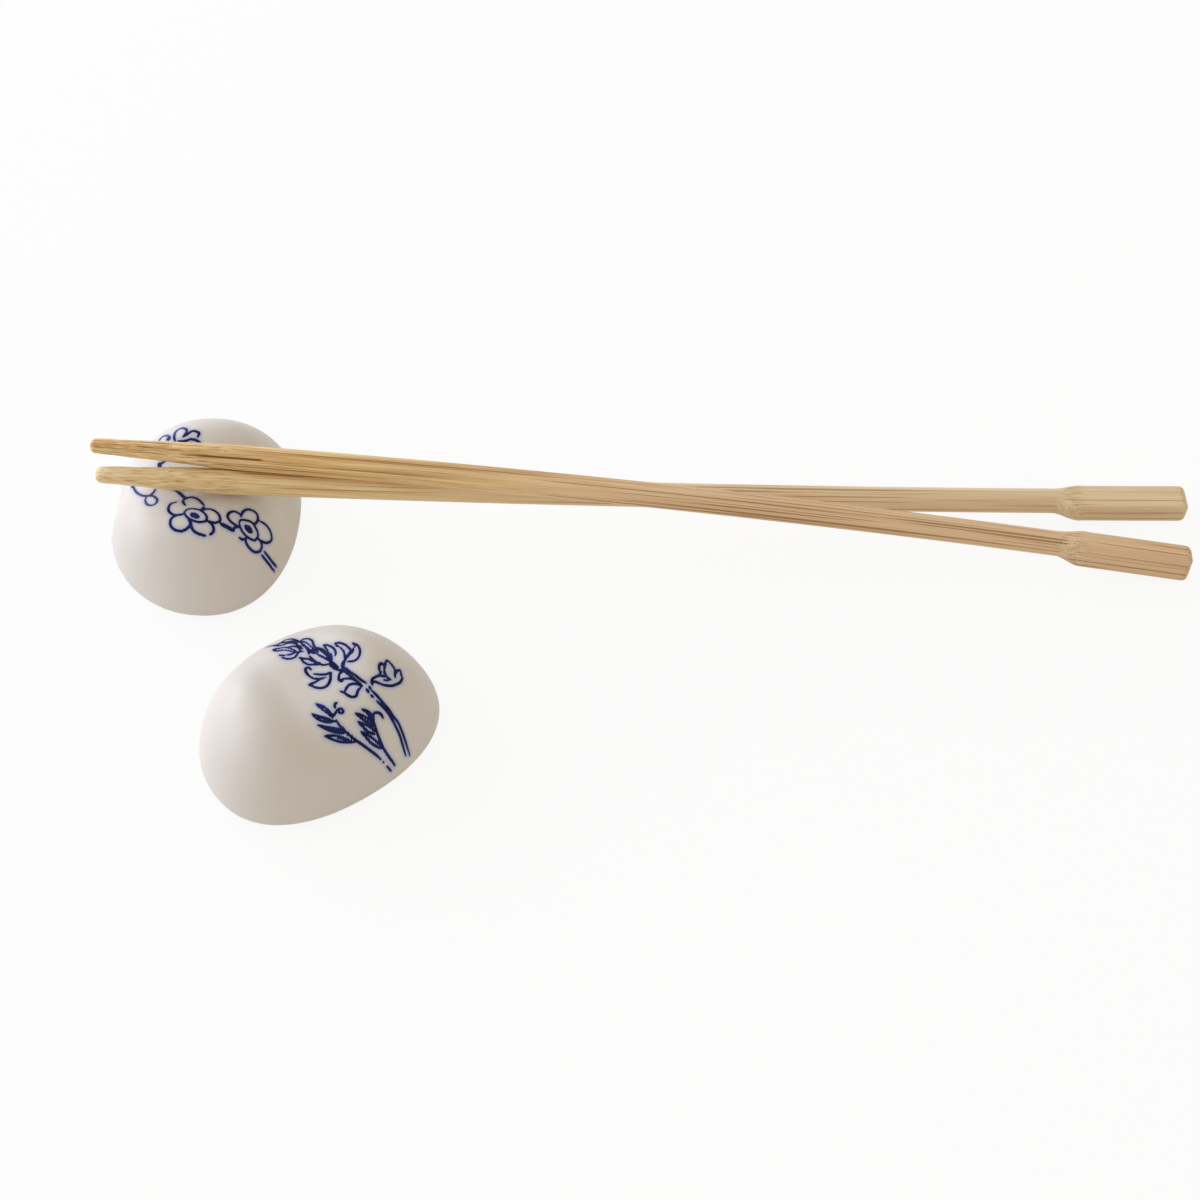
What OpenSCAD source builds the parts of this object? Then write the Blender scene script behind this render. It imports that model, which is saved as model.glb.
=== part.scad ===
// A pair of porcelain pebble chopstick rests with a pair of bamboo chopsticks laid for use.
// Origin at the centre of the first rest's base, +X along the chopsticks, +Z up.

/* [Rest] */
// Length of the pebble at its widest line
rest_length = 49.4; // [44:0.1:64]
// Width of the pebble at its widest line
rest_width = 39.3; // [34:0.1:50]
// Height the dome would have without its saddle
dome_height = 24.2; // [20:0.1:30]
// Height of the widest line above the table
belly_height = 3.2; // [3:0.1:7]
// Length of the flat base
base_length = 44; // [34:0.5:44]
// Width of the flat base
base_width = 31; // [24:0.5:34]
// How far the middle of one long side bulges and the other draws in
outline_bow = 1.8; // [0:0.1:4]
// How far the top leans towards the bulging side
top_lean = 2; // [0:0.1:5]
// How squarely the plan outline is rounded, 2 being an ellipse
outline_power = 2.16; // [1.8:0.02:3]
// How fully the dome is rounded, 2 being an ellipse
dome_power = 1.65; // [1.5:0.05:2.4]

/* [Saddle] */
// Depth of the saddle below the dome's top
saddle_depth = 7.4; // [4:0.1:9]
// Width of the saddle along the pebble
saddle_width = 35.5; // [26:0.5:44]
// Width of the saddle's flat floor
saddle_floor = 8; // [0:0.5:14]
// How soon the saddle fades out towards the flanks
saddle_fade = 3; // [1:0.25:4]

/* [Hollow] */
// Wall left by slip casting
wall = 3; // [2:0.25:4]
// Bore of the kiln vent in the base
vent_bore = 3; // [2:0.25:5]
// Place of the vent along the base from its centre
vent_offset = 9; // [0:0.5:12]

/* [Table layout] */
// Turn of the rest that carries the chopsticks
rest_turn = 86; // [60:0.5:120]
// Place of the spare rest to the right of the first
spare_right = 26.4; // [20:0.2:60]
// Place of the spare rest in front of the first
spare_front = 54.8; // [50:0.2:90]
// Turn of the spare rest
spare_turn = 37; // [0:0.5:90]

/* [Chopsticks] */
// Length of a chopstick
stick_length = 229; // [200:1:260]
// Thickness of the round body
body_diameter = 5.2; // [4.4:0.1:6]
// Thickness of the tip
tip_diameter = 2.9; // [2:0.1:4]
// How far the tip's middle lies off the axis, towards the inner side
tip_offset = 0.5; // [0:0.1:1.1]
// Length of the pared tip
tip_length = 29; // [15:1:60]
// Width of the square handle
handle_width = 6.4; // [6:0.1:8]
// Thickness of the square handle
handle_thickness = 4.6; // [3.6:0.1:6]
// Length of the square handle
handle_length = 23; // [12:0.5:60]
// Corner radius of the handle
handle_corner = 0.8; // [0.4:0.1:1.4]
// Length over which the body grows into the handle
shoulder_length = 6; // [3:0.5:15]
// Rounding of both ends
end_rounding = 0.9; // [0.3:0.1:1.2]
// Play between a chopstick and what it lies on
seat_play = 0.15; // [0.1:0.05:0.5]

/* [Lower chopstick] */
// How far its tip stands past the rest's centre
lower_reach = 21.1; // [15:0.5:40]
// Place across the saddle, away from the viewer positive
lower_across = -3.6; // [-5:0.1:0]
// Turn from straight ahead
lower_turn = 2.7; // [1:0.1:4]
// Roll about its own length
lower_roll = 0; // [-180:1:180]
// Warp of the stick at its middle, up positive
lower_warp = -1.8; // [-3:0.1:1.5]

/* [Upper chopstick] */
// How far its tip stands past the rest's centre
upper_reach = 22.4; // [15:0.5:40]
// Place across the saddle, away from the viewer positive
upper_across = -0.2; // [-1:0.1:4]
// Turn from straight ahead
upper_turn = -3.3; // [-6:0.1:-1]
// Roll about its own length
upper_roll = 85; // [-180:1:180]
// Warp of the stick at its middle, up positive
upper_warp = 3.3; // [-1.5:0.1:4]

/* [Hidden] */

// Steps of the curved faces
outline_steps = 60;
flank_steps = 4;
dome_steps = 17;
cavity_outline_steps = 36;
cavity_dome_steps = 8;
corner_steps = 6;
taper_steps = 10;
body_steps = 12;
shoulder_steps = 8;
rounding_steps = 4;
seat_rounds = 6;

// Run-out of cuts past the faces they open
cut_overrun = 1;

function signed_power(value, power) = sign(value) * pow(abs(value), power);

// One turn of the plan outline: the widest line at half sizes a and b
function plan_point(turn, a, b) = [
    a * signed_power(cos(turn), 2 / outline_power),
    b * signed_power(sin(turn), 2 / outline_power)
        + outline_bow * 2 * b / rest_width * (pow(sin(turn), 2) - 1 / 2)
];

// Across the saddle: 1 on its floor, then half a cosine wave up to 0 at its edges
function saddle_share(x) = let (
    out = max(0, min(2 * abs(x) - saddle_floor, saddle_width - saddle_floor))
) (1 + cos(180 * out / (saddle_width - saddle_floor))) / 2;

// Growth of the flank from base (0) to the widest line (1) at a height
function flank_share(z) = sqrt(1 - pow(1 - min(z, belly_height) / belly_height, 2));

function flank_point(turn, z) = let (
    g = flank_share(z),
    a = (base_length + g * (rest_length - base_length)) / 2,
    b = (base_width + g * (rest_width - base_width)) / 2,
    p = plan_point(turn, a, b)
) [p[0], p[1], z];

// Dome above a widest line at height low, of half sizes a and b, up to height top
function dome_point(turn, climb, a, b, low, top) = let (
    draw = pow(cos(climb), 2 / dome_power),
    rise = pow(sin(climb), 2 / dome_power),
    p = draw * plan_point(turn, a, b),
    x = p[0],
    y = p[1] + rise * top_lean
) [x, y, low + rise * (top - low) - pow(rise, saddle_fade) * saddle_depth * saddle_share(x)];

// Outer skin, ring by ring from the base to just below the top
function skin_points() = [
    for (i = [0 : flank_steps - 1], t = [0 : outline_steps - 1])
        flank_point(360 * t / outline_steps, belly_height * (1 - cos(90 * i / flank_steps))),
    for (i = [0 : dome_steps - 1], t = [0 : outline_steps - 1])
        dome_point(360 * t / outline_steps, 90 * i / dome_steps,
            rest_length / 2, rest_width / 2, belly_height, dome_height),
    dome_point(0, 90, rest_length / 2, rest_width / 2, belly_height, dome_height)
];

// Hollow inside, one wall smaller all round
cavity_belly = wall + belly_height / 2;
function cavity_points() = [
    for (t = [0 : cavity_outline_steps - 1]) let (
        outer = flank_point(360 * t / cavity_outline_steps, wall)
    ) [outer[0] * (1 - 2 * wall / rest_length), outer[1] * (1 - 2 * wall / rest_width), wall],
    for (i = [0 : cavity_dome_steps - 1], t = [0 : cavity_outline_steps - 1])
        dome_point(360 * t / cavity_outline_steps, 90 * i / cavity_dome_steps,
            rest_length / 2 - wall, rest_width / 2 - wall, cavity_belly, dome_height - wall),
    dome_point(0, 90, rest_length / 2 - wall, rest_width / 2 - wall, cavity_belly, dome_height - wall)
];

// Faces of a stack of rings of n points, closed flat below and by one peak point above
function peaked_faces(n, rings) = [
    [for (t = [0 : n - 1]) t],
    for (i = [0 : rings - 2], t = [0 : n - 1]) [i * n + t, (i + 1) * n + t, (i + 1) * n + (t + 1) % n],
    for (i = [0 : rings - 2], t = [0 : n - 1]) [i * n + t, (i + 1) * n + (t + 1) % n, i * n + (t + 1) % n],
    for (t = [0 : n - 1]) [(rings - 1) * n + t, rings * n, (rings - 1) * n + (t + 1) % n]
];

// Faces of a stack of rings of n points, closed flat at both ends
function stack_faces(n, rings) = [
    [for (t = [0 : n - 1]) t],
    for (i = [0 : rings - 2], t = [0 : n - 1]) [i * n + t, (i + 1) * n + t, (i + 1) * n + (t + 1) % n],
    for (i = [0 : rings - 2], t = [0 : n - 1]) [i * n + t, (i + 1) * n + (t + 1) % n, i * n + (t + 1) % n],
    [for (t = [n - 1 : -1 : 0]) (rings - 1) * n + t]
];

module pebble() {
    difference() {
        polyhedron(skin_points(), peaked_faces(outline_steps, flank_steps + dome_steps));
        polyhedron(cavity_points(), peaked_faces(cavity_outline_steps, cavity_dome_steps + 1));
        translate([vent_offset, 0, -cut_overrun])
            cylinder(d = vent_bore, h = wall + 2 * cut_overrun, $fn = 48);
    }
}

// Section of a chopstick: rounded rectangle of half sizes, its corner radius, rolled about the axis
function section(half_w, half_t, corner, shift, roll) = [
    for (q = [0 : 3], i = [0 : corner_steps - 1]) let (
        angle = 90 * q + 90 * (i + 1 / 2) / corner_steps,
        y = sign(cos(angle)) * (half_w - corner) + corner * cos(angle) + shift,
        z = sign(sin(angle)) * (half_t - corner) + corner * sin(angle)
    ) [y * cos(roll) - z * sin(roll), y * sin(roll) + z * cos(roll)]
];

function eased(share) = share * share * (3 - 2 * share);

// Sizes along a chopstick: the tip is pared mostly on its outer side, and the handle's inner side is flush
function tip_part(x) = let (
    d = tip_diameter + (body_diameter - tip_diameter) * min(x / tip_length, 1)
) [x, d / 2, d / 2, d / 2, tip_offset * (1 - min(x / tip_length, 1))];
function handle_part(x) = let (
    start = stick_length - handle_length - shoulder_length,
    g = eased(max(0, min((x - start) / shoulder_length, 1))),
    r = body_diameter / 2
) [
    x,
    r + g * (handle_width / 2 - r),
    r + g * (handle_thickness / 2 - r),
    r + g * (handle_corner - r),
    -g * (handle_width - body_diameter) / 2
];
// Rounded end: every half size loses the same amount towards the end
function rounded_end(part, x, angle) = let (
    loss = end_rounding * (1 - sin(angle))
) [x, part[1] - loss, part[2] - loss, max(part[3] - loss, handle_corner / 4), part[4]];

body_start = tip_length;
body_end = stick_length - handle_length - shoulder_length;
stations = [
    for (i = [0 : rounding_steps - 1]) let (angle = 90 * i / rounding_steps)
        rounded_end(tip_part(end_rounding * (1 - cos(angle))), end_rounding * (1 - cos(angle)), angle),
    for (i = [0 : taper_steps - 1])
        tip_part(end_rounding + (tip_length - end_rounding) * i / taper_steps),
    for (i = [0 : body_steps - 1])
        handle_part(body_start + (body_end - body_start) * i / body_steps),
    for (i = [0 : shoulder_steps - 1])
        handle_part(body_end + shoulder_length * i / shoulder_steps),
    handle_part(body_end + shoulder_length),
    handle_part((body_end + shoulder_length + stick_length) / 2),
    for (i = [0 : rounding_steps - 1]) let (
        angle = 90 * (1 - i / rounding_steps),
        x = stick_length - end_rounding * (1 - cos(angle))
    ) rounded_end(handle_part(x), x, angle)
];

function warp_at(x, warp) = warp * 4 * (x / stick_length) * (1 - x / stick_length);

module chopstick(roll, warp) {
    n = 4 * corner_steps;
    points = [
        for (s = stations, p = section(s[1], s[2], s[3], s[4], roll))
            [s[0], p[0], p[1] + warp_at(s[0], warp)]
    ];
    polyhedron(points, stack_faces(n, len(stations)));
}

// How far the rolled handle reaches below the chopstick's axis
function handle_reach(roll) =
    abs(sin(roll)) * (handle_width / 2 - handle_corner)
    + abs(cos(roll)) * (handle_thickness / 2 - handle_corner)
    + handle_corner
    + sin(roll) * (handle_width - body_diameter) / 2;

// Angle that takes a chopstick from its height over the rest's centre down to the table
function pitch_for(height, foot, reach, pitch, rounds) = rounds <= 0 ? pitch
    : pitch_for(height, foot, reach,
        atan((height - foot) / (stick_length * cos(pitch) - reach)), rounds - 1);

// Height over the rest's centre at which a chopstick just clears a list of [x, y, z, radius]
function seat_height(obstacles, across, turn, warp, reach, pitch) = max([
    for (o = obstacles) let (
        along = o[0] * cos(turn) + (o[1] - across) * sin(turn),
        aside = (o[1] - across) * cos(turn) - o[0] * sin(turn),
        clear = body_diameter / 2 + o[3] + seat_play
    ) if (abs(aside) < clear)
        o[2] + sqrt(clear * clear - aside * aside) / cos(pitch)
            + along * tan(pitch) - warp_at(along / cos(pitch) + reach, warp)
]);

function seat(obstacles, across, turn, roll, warp, reach, pitch, rounds) = let (
    height = seat_height(obstacles, across, turn, warp, reach, pitch),
    foot = handle_reach(roll) * cos(pitch),
    next = pitch_for(height, foot, reach, pitch, seat_rounds)
) rounds <= 0 ? [height, next]
    : seat(obstacles, across, turn, roll, warp, reach, next, rounds - 1);

function turned(p, turn) = [p[0] * cos(turn) - p[1] * sin(turn), p[0] * sin(turn) + p[1] * cos(turn), p[2]];

rest_obstacles = [
    for (p = skin_points()) let (q = turned(p, rest_turn)) if (q[2] > belly_height) [q[0], q[1], q[2], 0]
];
lower_seat = seat(rest_obstacles, lower_across, lower_turn, lower_roll, lower_warp, lower_reach,
    0, seat_rounds);

// Points of the lower chopstick's axis that the upper one has to clear
axis_steps = 60;
lower_axis = [
    for (i = [0 : axis_steps]) let (
        x = tip_length + (body_end - tip_length) * i / axis_steps,
        along = x * cos(lower_seat[1]) - lower_reach,
        z = lower_seat[0] - along * tan(lower_seat[1]) + warp_at(x, lower_warp)
    ) [along * cos(lower_turn), lower_across + along * sin(lower_turn), z, body_diameter / 2]
];
upper_seat = seat(concat(rest_obstacles, lower_axis), upper_across, upper_turn, upper_roll, upper_warp,
    upper_reach, 0, seat_rounds);

module laid(across, turn, reach, height, pitch) {
    translate([0, across, 0])
        rotate([0, 0, turn])
            translate([-reach, 0, height + reach * tan(pitch)])
                rotate([0, pitch, 0])
                    children();
}

module rest() {
    color("#e9e5df")
        rotate([0, 0, rest_turn])
            pebble();
}

module spare_rest() {
    color("#e9e5df")
        translate([spare_right, -spare_front, 0])
            rotate([0, 0, spare_turn])
                pebble();
}

module lower_chopstick() {
    color("#dcb983")
        laid(lower_across, lower_turn, lower_reach, lower_seat[0], lower_seat[1])
            chopstick(lower_roll, lower_warp);
}

module upper_chopstick() {
    color("#d6ae74")
        laid(upper_across, upper_turn, upper_reach, upper_seat[0], upper_seat[1])
            chopstick(upper_roll, upper_warp);
}

rest();
spare_rest();
lower_chopstick();
upper_chopstick();
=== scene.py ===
# Pebble chopstick rests in painted porcelain, and a pair of bamboo chopsticks laid for use
from math import cos, hypot, pi, radians, sin

import bpy
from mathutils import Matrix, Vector


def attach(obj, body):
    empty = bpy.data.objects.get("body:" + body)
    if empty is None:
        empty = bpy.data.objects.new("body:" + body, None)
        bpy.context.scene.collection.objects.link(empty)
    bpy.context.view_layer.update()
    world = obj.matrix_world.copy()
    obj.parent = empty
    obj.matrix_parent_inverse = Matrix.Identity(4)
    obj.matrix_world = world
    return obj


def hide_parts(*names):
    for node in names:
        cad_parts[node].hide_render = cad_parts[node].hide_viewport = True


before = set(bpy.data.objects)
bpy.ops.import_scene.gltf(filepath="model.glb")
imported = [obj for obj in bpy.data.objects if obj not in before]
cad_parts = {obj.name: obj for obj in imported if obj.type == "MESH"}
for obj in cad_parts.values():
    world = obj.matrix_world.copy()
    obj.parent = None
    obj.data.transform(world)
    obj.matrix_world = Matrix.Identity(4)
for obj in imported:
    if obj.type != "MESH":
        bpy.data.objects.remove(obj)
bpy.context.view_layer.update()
mm = 0.001
calc = "ShaderNodeMath"
remap = "ShaderNodeMapRange"
joinDistance = 0.001 * mm    # points closer than this become one point
sharpAngle = radians(35)     # edges with more of a turn than this stay sharp


def linearColor(hexColor):
    # sRGB hex to the linear colour that a socket holds
    parts = [int(hexColor[i:i + 2], 16) / 255 for i in (1, 3, 5)]
    return [p / 12.92 if p <= 0.04045 else ((p + 0.055) / 1.055) ** 2.4 for p in parts] + [1]


def addNode(tree, kind, links=(), **settings):
    # A node with its settings and its inputs, by place or by name; gives its first output.
    # A colour mix takes its share at place 0 and its colours at 6 and 7, and gives output 2
    node = tree.nodes.new(kind)
    for name, value in settings.items():
        setattr(node, name, value)
    for key, source in (links.items() if isinstance(links, dict) else enumerate(links)):
        if isinstance(source, bpy.types.NodeSocket):
            tree.links.new(source, node.inputs[key])
        elif source is not None:
            node.inputs[key].default_value = source
    return node.outputs[0] if node.outputs else node


def newGeometryTree(name, sizes):
    # A tree with one named input for each size
    tree = bpy.data.node_groups.new(name, "GeometryNodeTree")
    tree.interface.new_socket("Geometry", in_out="INPUT", socket_type="NodeSocketGeometry")
    for size in sizes:
        tree.interface.new_socket(size, in_out="INPUT", socket_type="NodeSocketFloat")
    tree.interface.new_socket("Geometry", in_out="OUTPUT", socket_type="NodeSocketGeometry")
    start = addNode(tree, "NodeGroupInput").node
    return tree, {socket.name: socket for socket in start.outputs if socket.name}


def grownMesh(name, tree, sizes, baseMesh):
    # Runs the tree on a base mesh and keeps the result as a plain mesh at the origin
    grower = bpy.data.objects.new(name + "Grower", baseMesh)
    bpy.context.scene.collection.objects.link(grower)
    modifier = grower.modifiers.new("shape", "NODES")
    modifier.node_group = tree
    for item in tree.interface.items_tree:
        if item.in_out == "INPUT" and item.name in sizes:
            modifier[item.identifier] = float(sizes[item.name])
    bpy.context.view_layer.update()
    scenery = bpy.context.evaluated_depsgraph_get()
    mesh = bpy.data.meshes.new_from_object(grower.evaluated_get(scenery),
                                           preserve_all_data_layers=True, depsgraph=scenery)
    grower.modifiers.remove(modifier)
    bpy.data.objects.remove(grower)
    mesh.name = name
    mesh.set_sharp_from_angle(angle=sharpAngle)
    piece = bpy.data.objects.new(name, mesh)
    bpy.context.scene.collection.objects.link(piece)
    print(name, len(mesh.polygons), "faces")
    return piece


def newMaterial(name):
    material = bpy.data.materials.new(name)
    material.use_nodes = True
    material.node_tree.nodes.clear()
    return material, material.node_tree


# Porcelain: slip cast, painted with a cobalt brush, dipped in clear glaze and fired. A range takes
# values from its first two numbers to its last two
porcelainFinish = {
    "body": "#d7d1ca",           # warm white clay seen through the glaze
    "cobalt": "#020736",         # a full stroke
    "cobaltThin": "#14236a",     # where the brush ran dry
    "cobaltHalo": "#98a3d0",     # cobalt bled into the glaze beside a stroke
    "bleedRange": (0.0, 1.0, 0.0, 0.85),
    "strokeRange": (0.2, 0.6, 0.0, 1.0),
    "patchScale": 0.5 / mm,      # cobalt lies thick and thin in patches of about 2 mm
    "patchRange": (0.42, 0.7, 0.0, 1.0),
    "cloudScale": 0.08 / mm,     # the glaze pools in broad soft clouds of about 12 mm
    "cloudRange": (0.3, 0.7, 0.0, 0.12),
    "waveScale": 0.33 / mm,      # orange peel of the fired glaze, waves about 3 mm long
    "waveHeight": 0.3 * mm,
    "waveStrength": 0.05,
    "ior": 1.5,
    "glazeRoughness": 0.42,
    "specular": 0.12,
    "coatWeight": 0.07,
    "coatRoughness": 0.2,
    "bareClay": "#c6bcae",
    "paleGrit": "#c9bdab",
    "gritScale": 4 / mm,         # sandy grit of about 0.25 mm
    "gritHeight": 0.1 * mm,
    "gritStrength": 0.3,
    "bareRoughness": 0.85,
}


def glazedPorcelain(finish):
    # A soft gleam over a warm white body, with blue lines whose edges bled a little in the firing
    material, tree = newMaterial("glazedPorcelain")
    place = addNode(tree, "ShaderNodeTexCoord").node.outputs["Object"]
    painted = addNode(tree, "ShaderNodeAttribute", attribute_name="brushwork").node.outputs["Fac"]
    patches = addNode(tree, "ShaderNodeTexNoise",
                      {"Vector": place, "Scale": finish["patchScale"], "Detail": 3.0})
    thinness = addNode(tree, remap, [patches, *finish["patchRange"]])
    cobalt = addNode(tree, "ShaderNodeMix", {0: thinness, 6: linearColor(finish["cobalt"]),
                     7: linearColor(finish["cobaltThin"])}, data_type="RGBA").node.outputs[2]
    # Where the glaze pools it is hardly darker than the rest
    clouds = addNode(tree, "ShaderNodeTexNoise",
                     {"Vector": place, "Scale": finish["cloudScale"], "Detail": 2.0})
    bled = addNode(tree, "ShaderNodeAttribute", attribute_name="glazeBleed").node.outputs["Fac"]
    # Each colour lies over the ones before it, by its own share
    colour = linearColor(finish["body"])
    for field, span, over in ((clouds, finish["cloudRange"], linearColor(finish["bareClay"])),
                              (bled, finish["bleedRange"], linearColor(finish["cobaltHalo"])),
                              (painted, finish["strokeRange"], cobalt)):
        share = addNode(tree, remap, [field, *span])
        colour = addNode(tree, "ShaderNodeMix", {0: share, 6: colour, 7: over},
                         data_type="RGBA").node.outputs[2]
    waves = addNode(tree, "ShaderNodeTexNoise",
                    {"Vector": place, "Scale": finish["waveScale"], "Detail": 1.0})
    bump = addNode(tree, "ShaderNodeBump", {"Strength": finish["waveStrength"],
                   "Distance": finish["waveHeight"], "Height": waves})
    shader = addNode(tree, "ShaderNodeBsdfPrincipled", {
        "Base Color": colour, "Roughness": finish["glazeRoughness"], "IOR": finish["ior"],
        "Specular IOR Level": finish["specular"],
        "Coat Weight": finish["coatWeight"], "Coat Roughness": finish["coatRoughness"],
        "Coat IOR": finish["ior"], "Normal": bump})
    addNode(tree, "ShaderNodeOutputMaterial", {"Surface": shader})
    return material


def bareClayFoot(finish):
    # Unglazed bisque where the foot was wiped: matt, a little darker, with fine sandy grit
    material, tree = newMaterial("bareClayFoot")
    place = addNode(tree, "ShaderNodeTexCoord").node.outputs["Object"]
    grit = addNode(tree, "ShaderNodeTexNoise",
                   {"Vector": place, "Scale": finish["gritScale"], "Detail": 4.0})
    colour = addNode(tree, "ShaderNodeMix", {0: grit, 6: linearColor(finish["paleGrit"]),
                     7: linearColor(finish["bareClay"])}, data_type="RGBA").node.outputs[2]
    bump = addNode(tree, "ShaderNodeBump", {"Strength": finish["gritStrength"],
                   "Distance": finish["gritHeight"], "Height": grit})
    shader = addNode(tree, "ShaderNodeBsdfPrincipled", {"Base Color": colour,
                     "Roughness": finish["bareRoughness"], "IOR": finish["ior"], "Normal": bump})
    addNode(tree, "ShaderNodeOutputMaterial", {"Surface": shader})
    return material


# The pebble, by the same rule as its solid: superellipse plan, domed top, cosine saddle
pebbleSize = {
    "Length": 49.4 * mm, "Width": 39.3 * mm, "Dome Height": 24.2 * mm, "Belly Height": 3.2 * mm,
    "Base Length": 44 * mm, "Base Width": 31 * mm, "Bow": 1.8 * mm, "Lean": 2 * mm,
    "Outline Power": 2.16, "Dome Power": 1.65,
    "Saddle Depth": 7.4 * mm, "Saddle Width": 35.5 * mm, "Saddle Floor": 8 * mm, "Saddle Fade": 3,
    "Wall": 3 * mm, "Vent Radius": 1.5 * mm, "Vent Offset": 9 * mm,
    "Hollow Radius": 7.5 * mm, "Hollow Height": 9 * mm,
    "Waist": 0, "Waist Reach": 9 * mm, "Waist Foot": 2 * mm, "Waist Top": 8 * mm,
    "Turn": 0, "Right": 0, "Front": 0,
}
pebbleMesh = {"lines": 285, "domeShare": 0.9}
brush = {
    "lineWidth": 0.58, "dabStep": 0.09,      # in plan millimetres, as the drawings are
    "endShare": 0.65, "endSwell": 3,         # a line's width at its ends, and how fast it grows
    "softEdge": 0.13 * mm, "bleedReach": 0.6 * mm, "bleedRounds": 3,
    "dropHeight": 50 * mm, "dropReach": 100 * mm,
}


def pebbleTree(porcelain, clay):
    tree, size = newGeometryTree("pebble", pebbleSize)
    lines = pebbleMesh["lines"]
    square = addNode(tree, "GeometryNodeMeshGrid", [2.0, 2.0, lines, lines])
    place = addNode(tree, "GeometryNodeInputPosition")
    side = addNode(tree, "ShaderNodeSeparateXYZ", [place]).node.outputs
    # Square rings become rings of the pebble: dome inside, flank and foot outside
    ring = addNode(tree, calc, [addNode(tree, calc, [side[0]], operation="ABSOLUTE"),
                                addNode(tree, calc, [side[1]], operation="ABSOLUTE")], operation="MAXIMUM")
    turn = addNode(tree, calc, [side[1], side[0]], operation="ARCTAN2")
    climb = addNode(tree, remap, [ring, 0.0, pebbleMesh["domeShare"], pi / 2, 0.0])
    swell = addNode(tree, remap, [ring, pebbleMesh["domeShare"], 1.0, pi / 2, 0.0])
    growth = addNode(tree, calc, [swell], operation="SINE")
    halfLength, halfWidth = [
        addNode(tree, calc, [addNode(tree, remap, [growth, 0.0, 1.0, size["Base " + name], size[name]]),
                             2.0], operation="DIVIDE") for name in ("Length", "Width")]
    # Plan outline: each of cosine and sine raised to a power, with its sign kept
    outlinePower = addNode(tree, calc, [2.0, size["Outline Power"]], operation="DIVIDE")
    plan = {}
    for way in ("COSINE", "SINE"):
        wave = addNode(tree, calc, [turn], operation=way)
        amount = addNode(tree, calc, [addNode(tree, calc, [wave], operation="ABSOLUTE"), outlinePower],
                         operation="POWER")
        plan[way] = addNode(tree, calc, [amount, addNode(tree, calc, [wave], operation="SIGN")],
                            operation="MULTIPLY")
    sine = addNode(tree, calc, [turn], operation="SINE")
    sineSquare = addNode(tree, calc, [sine, sine], operation="MULTIPLY")
    domePower = addNode(tree, calc, [2.0, size["Dome Power"]], operation="DIVIDE")
    draw = addNode(tree, calc, [addNode(tree, calc, [climb], operation="COSINE"), domePower],
                   operation="POWER")
    rise = addNode(tree, calc, [addNode(tree, calc, [climb], operation="SINE"), domePower],
                   operation="POWER")
    # x = draw * halfLength * plan cosine
    x = addNode(tree, calc, [addNode(tree, calc, [draw, halfLength], operation="MULTIPLY"),
                             plan["COSINE"]], operation="MULTIPLY")
    # fullY = draw * (halfWidth * plan sine + bowing) + rise * lean
    bowShare = addNode(tree, calc, [sineSquare, 0.5], operation="SUBTRACT")
    bowPart = addNode(tree, calc, [addNode(tree, calc, [size["Bow"], 2.0], operation="MULTIPLY"),
                                   size["Width"]], operation="DIVIDE")
    bowing = addNode(tree, calc, [addNode(tree, calc, [bowPart, halfWidth], operation="MULTIPLY"),
                                  bowShare], operation="MULTIPLY")
    across = addNode(tree, calc, [halfWidth, plan["SINE"], bowing], operation="MULTIPLY_ADD")
    leaning = addNode(tree, calc, [rise, size["Lean"]], operation="MULTIPLY")
    fullY = addNode(tree, calc, [draw, across, leaning], operation="MULTIPLY_ADD")
    # The saddle: a floor, then half a cosine wave up along x, fading out down the flanks
    fromMiddle = addNode(tree, calc, [x], operation="ABSOLUTE")
    out = addNode(tree, remap, [fromMiddle,
                  addNode(tree, calc, [size["Saddle Floor"], 2.0], operation="DIVIDE"),
                  addNode(tree, calc, [size["Saddle Width"], 2.0], operation="DIVIDE"), 0.0, pi])
    share = addNode(tree, calc, [addNode(tree, calc, [out], operation="COSINE"), 0.5, 0.5],
                    operation="MULTIPLY_ADD")
    fade = addNode(tree, calc, [rise, size["Saddle Fade"]], operation="POWER")
    dip = addNode(tree, calc, [addNode(tree, calc, [fade, size["Saddle Depth"]], operation="MULTIPLY"),
                               share], operation="MULTIPLY")
    climbHeight = addNode(tree, calc, [size["Dome Height"], size["Belly Height"]], operation="SUBTRACT")
    bellyPart = addNode(tree, calc, [1.0, addNode(tree, calc, [swell], operation="COSINE")],
                        operation="SUBTRACT")
    low = addNode(tree, calc, [size["Belly Height"], bellyPart], operation="MULTIPLY")
    high = addNode(tree, calc, [rise, climbHeight, low], operation="MULTIPLY_ADD")
    z = addNode(tree, calc, [high, dip], operation="SUBTRACT")
    # Clay drawn in a little at the waist, where fingers pressed the saddle, and not at the foot
    waistTurn = addNode(tree, remap, [fromMiddle, 0.0, size["Waist Reach"], 0.0, pi])
    waistShare = addNode(tree, calc, [addNode(tree, calc, [waistTurn], operation="COSINE"), 0.5, 0.5],
                         operation="MULTIPLY_ADD")
    aboveFoot = addNode(tree, remap, [z, size["Waist Foot"], size["Waist Top"], 0.0, 1.0],
                        interpolation_type="SMOOTHSTEP")
    drawnIn = addNode(tree, calc, [addNode(tree, calc, [waistShare, aboveFoot], operation="MULTIPLY"),
                      size["Waist"]], operation="MULTIPLY")
    y = addNode(tree, calc, [fullY, addNode(tree, calc, [1.0, drawnIn], operation="SUBTRACT")],
                operation="MULTIPLY")
    marked = addNode(tree, "GeometryNodeStoreNamedAttribute", {"Geometry": square, "Name": "outlineTurn",
                     "Value": turn}, data_type="FLOAT", domain="POINT")
    dome = addNode(tree, "GeometryNodeSetPosition", {"Geometry": marked,
                   "Position": addNode(tree, "ShaderNodeCombineXYZ", [x, y, z])})

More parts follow.
